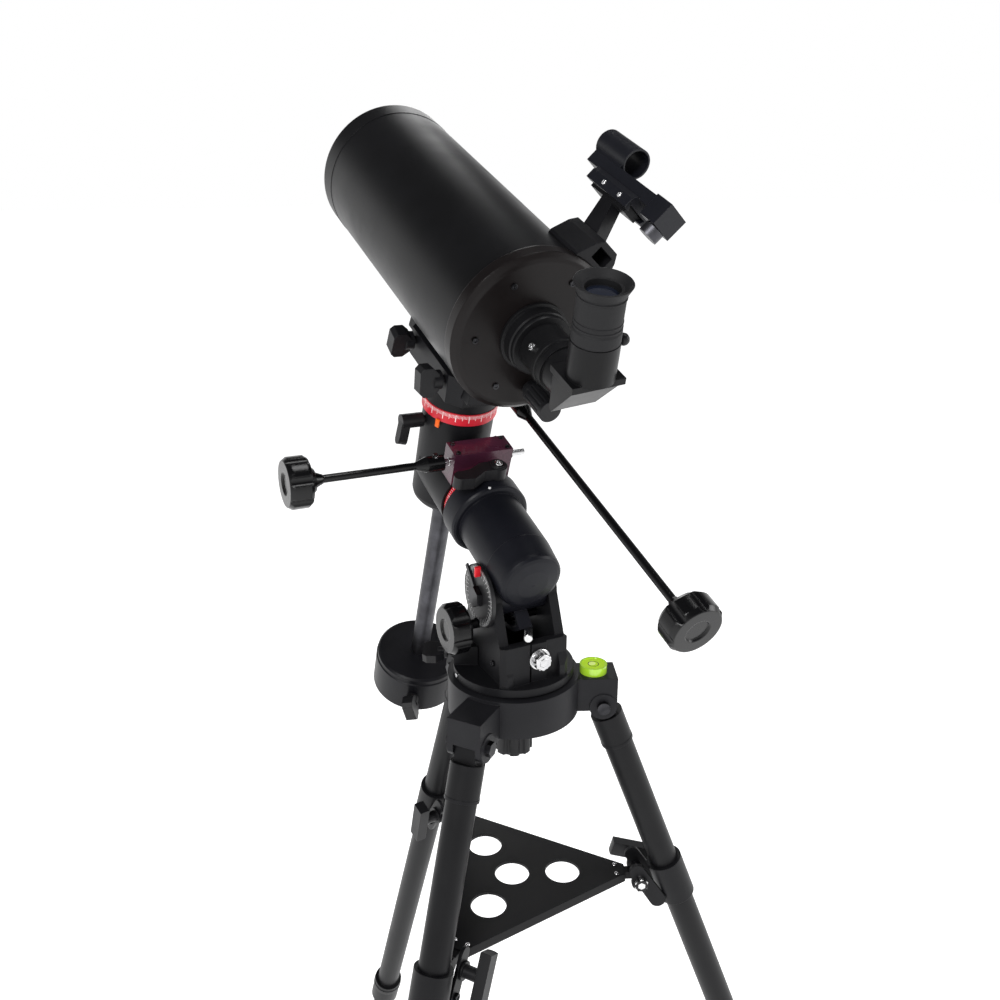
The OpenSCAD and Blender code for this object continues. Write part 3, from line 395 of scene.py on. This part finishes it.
def scale_plate():
    """The latitude disc: a tick every two degrees and a longer one each ten, near the rim."""
    paint = Paint("latitude_disc")
    where = paint.around(PIVOT)
    y, z = paint.part(where, 1), paint.part(where, 2)
    share_turn = y.math("ARCTAN2", z, y) / (2.0 * math.pi) + 0.5
    reach = (y * y + z * z) ** 0.5

    def ticks(number, edge, inner, outer=0.0255):
        return ((abs((share_turn * number) % 1.0 - 0.5) > edge)
                * (reach > inner) * (reach < outer))

    fine, bold = ticks(180.0, 0.40, 0.0225), ticks(36.0, 0.46, 0.0195)
    mask = fine.math("MAXIMUM", fine, bold)
    cloud = paint.noise(where, 60.0, 3.0)
    ground = paint.mix(cloud, (0.005, 0.005, 0.006), (0.009, 0.009, 0.010))
    return paint.finish(Base_Color=paint.mix(mask * 0.85, ground, (0.75, 0.75, 0.75)),
                        Roughness=0.42 + cloud * 0.1,
                        Normal=paint.relief(mask, 0.00003))


def eye_lens_glass():
    """The eyepiece's top lens: dark, coated glass."""
    paint = Paint("eye_lens_dark")
    where = paint.around(DIAGONAL)
    tint = paint.noise(where, 60.0, 2.0)
    return paint.finish(Base_Color=paint.mix(tint, (0.004, 0.006, 0.012), (0.010, 0.014, 0.030)),
                        Roughness=0.03 + tint * 0.03, Coat_Weight=1.0, Coat_Roughness=0.02)


lens_dark = eye_lens_glass()

FINISH = {
    casting: ["tray_bracket_1", "tray_bracket_2", "tray_bracket_3", "azimuth_base",
              "dec_housing", "dec_worm_block", "saddle", "dovetail_bar", "finder_base"],
    hub_grey: ["tripod_hub"],
    tray_black: ["tray"],
    polar_blue: ["ra_housing", "ra_end_cap"],
    tube_black: ["ota_tube", "front_cell"],
    cell_black: ["rear_cell"],
    leg_black: ["upper_leg_1", "upper_leg_2", "upper_leg_3", "lower_leg_1", "lower_leg_2",
                "lower_leg_3"],
    # The worm box's violet is a painted sheen on a black box.
    painted_sheen_violet: ["ra_worm_block"],
    weight_black: ["counterweight"],
    anodised: ["visual_back", "diagonal", "baffle_tube"],
    rubber: ["eyepiece"],
    knob_gloss: ["ra_control", "dec_control", "latitude_knob"],
    knob_satin: ["hub_knob", "azimuth_knob", "ra_lever", "dec_lever", "counterweight_knob",
                 "saddle_knob_1", "saddle_knob_2", "focus_knob", "tray_knob_1", "tray_knob_2",
                 "tray_knob_3"],
    sight_blue: ["finder_body"],
    rod_dark: ["counterweight_shaft", "finder_knob", "ra_shaft", "dec_shaft"],
    screw_black: ["hinge_bolts", "altitude_axle"],
    silver: ["ra_worm", "dec_worm", "base_bolt"],
    brass: ["ra_wheel", "dec_wheel"],
    ra_dial: ["ra_circle"],
    dec_dial: ["dec_circle"],
    corrector_glass(): ["corrector_lens"],
    mirror_silver(): ["primary_mirror"],
    bubble_fluid(): ["bubble_level"],
    scale_plate(): ["latitude_scale"],
}


def finish_cad_nodes():
    """Give every CAD node the finish that is listed for it."""
    for material, names in FINISH.items():
        for name in names:
            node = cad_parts[name]
            if not node.material_slots:
                node.data.materials.append(material)
            for held in node.material_slots:
                held.material = material


# ---------------------------------------------------------------- shaping

SHARP = 35       # degrees between two faces, past which an edge stays sharp or is rounded


def start_clean():
    """Object mode, with nothing selected."""
    if bpy.context.object and bpy.context.object.mode != "OBJECT":
        bpy.ops.object.mode_set(mode="OBJECT")
    bpy.ops.object.select_all(action="DESELECT")


def settle(piece, name, matrix, material, body, smooth=SHARP):
    """Put a piece made about the origin in its place, give it its finish and its body."""
    piece.name = name
    piece.matrix_world = matrix
    bpy.ops.object.transform_apply(location=True, rotation=True, scale=True)
    bpy.ops.object.shade_smooth_by_angle(angle=math.radians(smooth))
    piece.data.materials.clear()
    piece.data.materials.append(material)
    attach(piece, body)
    bpy.ops.object.select_all(action="DESELECT")
    return piece


def ring_stack(rings, sides):
    """A turned piece about z, as rings of (height, radius): a circle drawn out ring by ring."""
    start_clean()
    height, radius = rings[0]
    bpy.ops.mesh.primitive_circle_add(vertices=sides, radius=radius, location=(0, 0, height),
                                      fill_type="NGON")
    piece = bpy.context.object
    bpy.ops.object.transform_apply(location=True, rotation=True, scale=True)
    bpy.ops.object.mode_set(mode="EDIT")
    bpy.ops.mesh.select_all(action="SELECT")
    for next_height, next_radius in rings[1:]:
        bpy.ops.mesh.extrude_region_move(
            TRANSFORM_OT_translate={"value": (0, 0, next_height - height)})
        factor = next_radius / radius
        bpy.ops.transform.resize(value=(factor, factor, 1))
        height, radius = next_height, next_radius
    bpy.ops.mesh.select_all(action="SELECT")
    bpy.ops.mesh.normals_make_consistent(inside=False)
    bpy.ops.object.mode_set(mode="OBJECT")
    piece.select_set(True)
    return piece


def round_edges(piece, width, segments=2):
    """Round the piece's sharp edges with an applied bevel."""
    bevel = piece.modifiers.new("rounded", "BEVEL")
    bevel.width = width
    bevel.segments = segments
    bevel.limit_method = "ANGLE"
    bevel.angle_limit = math.radians(SHARP)
    bpy.context.view_layer.objects.active = piece
    bpy.ops.object.modifier_apply(modifier=bevel.name)


def select_top(piece, limit=0.9):
    """Go to edit mode with the faces that look up selected."""
    bpy.ops.object.mode_set(mode="EDIT")
    bpy.ops.mesh.select_mode(type="FACE")
    bpy.ops.mesh.select_all(action="DESELECT")
    shape = bmesh.from_edit_mesh(piece.data)
    for face in shape.faces:
        face.select_set(face.normal.z > limit)
    bmesh.update_edit_mesh(piece.data)


def socket_screw(name, matrix, radius, height, material, body):
    """A socket cap screw standing on the frame's z = 0."""
    piece = ring_stack([(-SUNK, radius), (height, radius)], 24)
    select_top(piece)
    bpy.ops.mesh.inset(thickness=radius * 0.45, depth=0)
    bpy.ops.mesh.inset(thickness=radius * 0.02, depth=-height * 0.55)
    bpy.ops.object.mode_set(mode="OBJECT")
    piece.select_set(True)
    round_edges(piece, radius * 0.1)
    return settle(piece, name, matrix, material, body)


def pan_screw(name, matrix, radius, height, material, body):
    """A domed cross-head screw standing on the frame's z = 0."""
    piece = ring_stack([(-SUNK, radius), (height * 0.35, radius), (height * 0.8, radius * 0.8),
                        (height, radius * 0.45), (height, radius * 0.3)], 24)
    select_top(piece, 0.95)
    bpy.ops.mesh.inset(thickness=radius * 0.1, depth=-height * 0.4)
    bpy.ops.object.mode_set(mode="OBJECT")
    piece.select_set(True)
    return settle(piece, name, matrix, material, body)


def hex_nut(name, matrix, radius, height, material, body, bore):
    """A nut or bolt head standing on the frame's z = 0, with a shallow recess in its top."""
    chamfer = 0.0006
    piece = ring_stack([(-SUNK, radius * 0.96), (0.0, radius), (height - chamfer, radius),
                        (height, radius * 0.93)], 6)
    select_top(piece)
    bpy.ops.mesh.inset(thickness=max(radius * 0.9 - bore, 0.0004), depth=0)
    bpy.ops.mesh.inset(thickness=0.0001, depth=0.0006)
    bpy.ops.object.mode_set(mode="OBJECT")
    piece.select_set(True)
    round_edges(piece, 0.0003)
    return settle(piece, name, matrix, material, body)


def turned(name, matrix, rings, material, body, sides=64, smooth=SHARP):
    """A turned piece: its rings, put in its place."""
    return settle(ring_stack(rings, sides), name, matrix, material, body, smooth)


def block(name, matrix, size, material, body, bevel=0.0008):
    """A small machined block, centred on the frame, with rounded edges."""
    start_clean()
    bpy.ops.mesh.primitive_cube_add(size=1, location=(0, 0, 0))
    piece = bpy.context.object
    piece.scale = size
    bpy.ops.object.transform_apply(location=False, rotation=False, scale=True)
    round_edges(piece, bevel, 3)
    return settle(piece, name, matrix, material, body)


# ---------------------------------------------------------------- telescope fittings

def rear_cell_screws():
    """Six screws in a circle round the rear cell."""
    circle = 0.0475
    for i in range(6):
        angle = math.radians(30 + 60 * i)
        place = SCOPE @ shift(circle * math.sin(angle), -0.0035, circle * math.cos(angle))
        socket_screw("cell_screw_%d" % (i + 1), place @ TO_REAR, 0.0024, 0.0016,
                     screw_black, "tube")


def visual_back_fittings():
    """Two holding screws, and a ring and a collar round the visual back."""
    for i, angle in enumerate((-62, 58)):
        place = SCOPE @ turn(angle, "Y") @ shift(0, -0.034, 0.0188)
        socket_screw("port_screw_%d" % (i + 1), place, 0.0028, 0.0030, silver, "tube")
    turned("port_ring", SCOPE @ TO_REAR @ shift(0, 0, 0.016),
           [(-0.0004, 0.0198), (0, 0.0238), (0.0012, 0.0242), (0.0028, 0.0242),
            (0.0040, 0.0236), (0.0040, 0.0196)], anodised, "tube")
    turned("port_collar", SCOPE @ TO_REAR @ shift(0, 0, 0.0400),
           [(0, 0.0192), (0.0006, 0.0200), (0.0044, 0.0200), (0.0050, 0.0192)],
           anodised, "tube")


def ball_thumbscrew(name, matrix, body):
    """A small round-headed thumbscrew on its shank."""
    turned(name, matrix, [(-0.001, 0.0016), (0.004, 0.0016), (0.0043, 0.0026), (0.0052, 0.0037),
                          (0.0068, 0.0044), (0.0084, 0.0044), (0.0100, 0.0037),
                          (0.0110, 0.0025), (0.0114, 0.0010)], knob_satin, body,
           32, 60)


def eyepiece_fittings():
    """The holder's thumbscrew, and the rings and top lens of the eyepiece."""
    at_eye = DIAGONAL @ shift(0, EYE_Y, 0)
    ball_thumbscrew("holder_thumbscrew",
                    at_eye @ turn(8, "Z") @ ALONG_X @ shift(-0.0385, 0, 0.0168), "diagonal")
    for i, (low, high, radius) in enumerate(((0.0560, 0.0575, 0.01665), (0.0600, 0.0612, 0.01655),
                                             (0.0770, 0.0784, 0.01670))):
        turned("barrel_ring_%d" % (i + 1), at_eye,
               [(low, 0.0160), (low + 0.0002, radius), (high - 0.0002, radius),
                (high, 0.0160)], rubber, "eyepiece")
    turned("eye_lens", at_eye, [(0.0770, 0.0119), (0.0784, 0.0118), (0.0792, 0.0090),
                                (0.0796, 0.0050), (0.0797, 0.0008)], lens_dark, "eyepiece",
           64, 80)


def sight_screws():
    """Small cross-head screws down the left side of the finder's clamp and ring."""
    for i, (x, y, z) in enumerate(((-0.0130, 0.0220, 0.0505), (-0.0130, 0.0450, 0.0505),
                                   (-0.0080, 0.0550, 0.0720))):
        pan_screw("sight_screw_%d" % (i + 1), FINDER @ shift(x, y, z) @ turn(-90, "Y"), 0.0021,
                  0.0012, silver, "finder")


def front_end():
    """The ring that holds the corrector."""
    turned("retaining_ring", SCOPE @ ALONG_Y @ shift(0, 0, 0.3051),
           [(0.0, 0.0596), (0.0012, 0.0596), (0.0016, 0.0590), (0.0014, 0.0560)],
           anodised, "tube", 128)


# ---------------------------------------------------------------- mount fittings

def worm_box_fittings():
    """The worm box's lid screws, the nut at the worm's end and the bolt on its upper side."""
    top = RA_AXIS @ shift(0, WORM_Y, 0.050)
    for i, (x, y) in enumerate(((-0.023, -0.0068), (-0.023, 0.0068), (0.023, -0.0068),
                                (0.023, 0.0068))):
        socket_screw("worm_box_screw_%d" % (i + 1), top @ shift(x, y, 0), 0.0021, 0.0012,
                     screw_black, "ra")
    hex_nut("worm_end_nut", RA_AXIS @ shift(0.0273, WORM_Y, 0.037) @ ALONG_X, 0.0058, 0.0040,
            screw_black, "ra", 0.0033)
    hex_nut("worm_box_bolt", RA_AXIS @ shift(0.021, 0.1094, 0.044) @ turn(-90, "X"), 0.0045,
            0.0035, screw_black, "ra", 0.002)


def lever_fittings():
    """The cup and the screw at the top of the polar lock lever."""
    at_lever = RA_AXIS @ shift(0.006, 0.0735, 0.0360 + 0.011)
    turned("lever_cup", at_lever @ shift(0, 0, -0.0004),
           [(0, 0.0070), (0.0014, 0.0068), (0.0014, 0.0048), (0.0006, 0.0046)],
           knob_satin, "ra_lever", 48)
    socket_screw("lever_screw", at_lever, 0.0034, 0.0026, silver, "ra_lever")


def collar_marks():
    """The white dot and the red pointer that the polar circle is read against."""
    place = RA_AXIS @ turn(-10, "Y") @ shift(0, 0.0600, 0.0354)
    turned("index_dot", place, [(-0.0004, 0.0012), (0.00025, 0.0012), (0.00035, 0.0009)],
           white_ink, "altitude", 24)
    block("ra_pointer", RA_AXIS @ turn(-38, "Y") @ shift(0, 0.0805, 0.0338),
          (0.0034, 0.0056, 0.0018), red_paint, "altitude", 0.0005)


def dec_marks():
    """The orange pointer that the declination circle is read against."""
    block("dec_pointer", DECL @ turn(214, "Z") @ shift(0.0344, 0, 0.0570),
          (0.0018, 0.0040, 0.0080), orange_paint, "ra", 0.0005)


def fork_fittings():
    """The cheeks' screws, the bolt behind the fork with its washer, and the turntable's screw."""
    for i, y in enumerate((-0.022, 0.020)):
        for side, letter in ((-1, "l"), (1, "r")):
            place = PIVOT @ shift(side * 0.030, y, -0.052) @ turn(90 * side, "Y")
            socket_screw("cheek_screw_%d%s" % (i + 1, letter), place, 0.0026,
                         0.0018, screw_black, "azimuth")
    turned("bolt_washer", PIVOT @ shift(0.003, -0.0402, -0.047) @ TO_REAR,
           [(0, 0.0088), (0.0001, 0.0093), (0.0014, 0.0093), (0.0018, 0.0088)], silver,
           "azimuth")
    hex_nut("fork_bolt_head", PIVOT @ shift(0.003, -0.0418, -0.047) @ TO_REAR, 0.0078,
            0.0066, silver, "azimuth", 0.0044)
    socket_screw("rim_screw", leg_side(1) @ turn(200, "Z") @ shift(0.0514, 0, BASE_Z + 0.0038)
                 @ ALONG_X, 0.0019, 0.0014, silver, "azimuth")


def latitude_pointer():
    """The red tongue that reads the latitude disc, and the silver bolt end in the fork window."""
    block("latitude_pointer", PIVOT @ turn(8, "X") @ shift(-0.0350, 0, 0.0235),
          (0.0050, 0.0032, 0.0090), red_paint, "altitude", 0.0006)
    turned("altitude_bolt", PIVOT @ shift(-0.004, -0.0335, -0.0265) @ turn(62, "Z") @ ALONG_X
           @ shift(0, 0, -0.008),
           [(0, 0.0030), (0.0004, 0.0035), (0.0150, 0.0035), (0.0156, 0.0029)], silver,
           "azimuth", 32)


def coupling_screws():
    """The screws that hold the control rods on the worms."""
    socket_screw("ra_coupling_screw", RA_AXIS @ shift(-0.0405, WORM_Y, 0.0438), 0.0021, 0.0016,
                 silver, "ra_worm")
    socket_screw("dec_coupling_screw", DECL @ shift(0.037, -0.0405, 0.0795 + 0.0068), 0.0021,
                 0.0016, silver, "dec_worm")


# ---------------------------------------------------------------- tripod fittings

def tray_fittings():
    """Two rivets in each of the tray's tongues."""
    for k in (1, 2, 3):
        for side, letter in ((-1, "l"), (1, "r")):
            place = leg_side(k) @ shift(PIN_R - 0.0215, side * 0.0062, TRAY_Z)
            pan_screw("tray_rivet_%d%s" % (k, letter), place, 0.0021, 0.0012,
                      silver, "tray")


def leg_fittings():
    """Each leg's bands and foot lip, and its bracket's screw and nut."""
    for k in (1, 2, 3):
        at_leg = leg_frame(k)
        turned("leg_band_%d" % k, at_leg @ shift(0, 0, 0.0425),
               [(0, 0.0140), (0.0002, 0.01455), (0.0030, 0.01455), (0.0032, 0.0140)],
               casting, "leg_%d" % k)
        turned("lock_band_%d" % k, at_leg @ shift(0, 0, 0.586),
               [(0, 0.0160), (0.0002, 0.0170), (0.0060, 0.0170), (0.0062, 0.0160)],
               knob_satin, "leg_%d" % k)
        turned("foot_lip_%d" % k, at_leg @ shift(0, 0, 0.668),
               [(0, 0.0126), (0.0003, 0.0138), (0.0050, 0.0138), (0.0054, 0.0126)],
               rubber, "lower_leg_%d" % k)
        place = leg_side(k) @ shift(PIN_R + 0.0135, 0.014, TRAY_Z - 0.021)
        socket_screw("bracket_screw_%d" % k, place @ turn(-90, "X"), 0.0036, 0.0026, screw_black,
                     "leg_%d" % k)
        hex_nut("bracket_nut_%d" % k, leg_side(k) @ shift(PIN_R, -0.014, TRAY_Z - 0.005)
                @ turn(90, "X"), 0.0068, 0.0045, silver, "leg_%d" % k, 0.004)


# ---------------------------------------------------------------- studio

FLOOR_SIZE, FLOOR_Z = 60, -0.0004


def studio():
    """A pale floor, soft air that is white low down and dim above, and four soft lamps."""
    start_clean()
    bpy.ops.mesh.primitive_plane_add(size=FLOOR_SIZE, location=(0, 0, FLOOR_Z))
    floor = bpy.context.object
    floor.name = "floor"
    paint = Paint("floor_pale")
    tone = paint.noise(paint.place(), 1.5, 2.0)
    floor.data.materials.append(paint.finish(
        Base_Color=paint.mix(tone, (0.74, 0.74, 0.74), (0.78, 0.78, 0.78)), Roughness=0.9,
        Specular_IOR_Level=0.0, Emission_Color=(1, 1, 1, 1), Emission_Strength=0.92))
    world = bpy.data.worlds.new("studio_air")
    bpy.context.scene.world = world
    air = NodeWriter(world)
    around = air.node("ShaderNodeTexCoord", {}, {}, "Generated")
    height = air.node("ShaderNodeSeparateXYZ", {}, {0: around}, 2)
    shade = air.node("ShaderNodeValToRGB",
                     {"stops": ((0.20, (1.0, 1.0, 1.0)), (0.45, (0.10, 0.10, 0.105)))},
                     {0: height})
    sky = air.node("ShaderNodeBackground", {}, {0: shade, 1: 1.0})
    air.end("ShaderNodeOutputWorld", sky.socket)
    for name, place, aim, size, power in (
            ("key", (-1.9, -1.6, 2.6), (0, 0.1, 0.9), (0.7, 1.1), 62),
            ("fill", (2.4, -1.2, 1.7), (0, 0.1, 0.8), (1.0, 1.6), 24),
            ("rim", (0.9, 2.2, 2.0), (0, 0, 1.0), (0.5, 1.4), 7),
            ("top", (0.5, -0.3, 3.2), (0, 0, 0.8), (0.8, 0.8), 14)):
        light = bpy.data.lights.new(name, "AREA")
        light.shape = "RECTANGLE"
        light.size, light.size_y = size
        light.energy = power
        holder = bpy.data.objects.new(name, light)
        bpy.context.collection.objects.link(holder)
        holder.location = place
        holder.rotation_euler = (Vector(aim) - Vector(place)).to_track_quat("-Z", "Y").to_euler()


EYE_PLACE = (-0.3431, -0.6620, 1.0913)
EYE_RIGHT, EYE_UP = (0.8952, -0.4457, 0.0014), (0.1422, 0.2884, 0.9469)


def camera():
    """A 35 mm lens on a 36 mm wide frame, beside the eyepiece end and looking down a little."""
    lens = bpy.data.cameras.new("camera")
    lens.sensor_width = 36.0
    lens.lens = 34.98
    lens.clip_start = 0.01
    eye = bpy.data.objects.new("camera", lens)
    bpy.context.collection.objects.link(eye)
    right = Vector(EYE_RIGHT)
    back = right.cross(Vector(EYE_UP)).normalized()
    up = back.cross(right).normalized()
    eye.matrix_world = Matrix((*zip(right, up, back, EYE_PLACE), (0, 0, 0, 1)))
    bpy.context.scene.camera = eye
    bpy.context.scene.view_settings.view_transform = "Standard"


camera()
studio()
finish_cad_nodes()
rear_cell_screws()
visual_back_fittings()
eyepiece_fittings()
sight_screws()
front_end()
worm_box_fittings()
lever_fittings()
collar_marks()
dec_marks()
fork_fittings()
latitude_pointer()
coupling_screws()
tray_fittings()
leg_fittings()
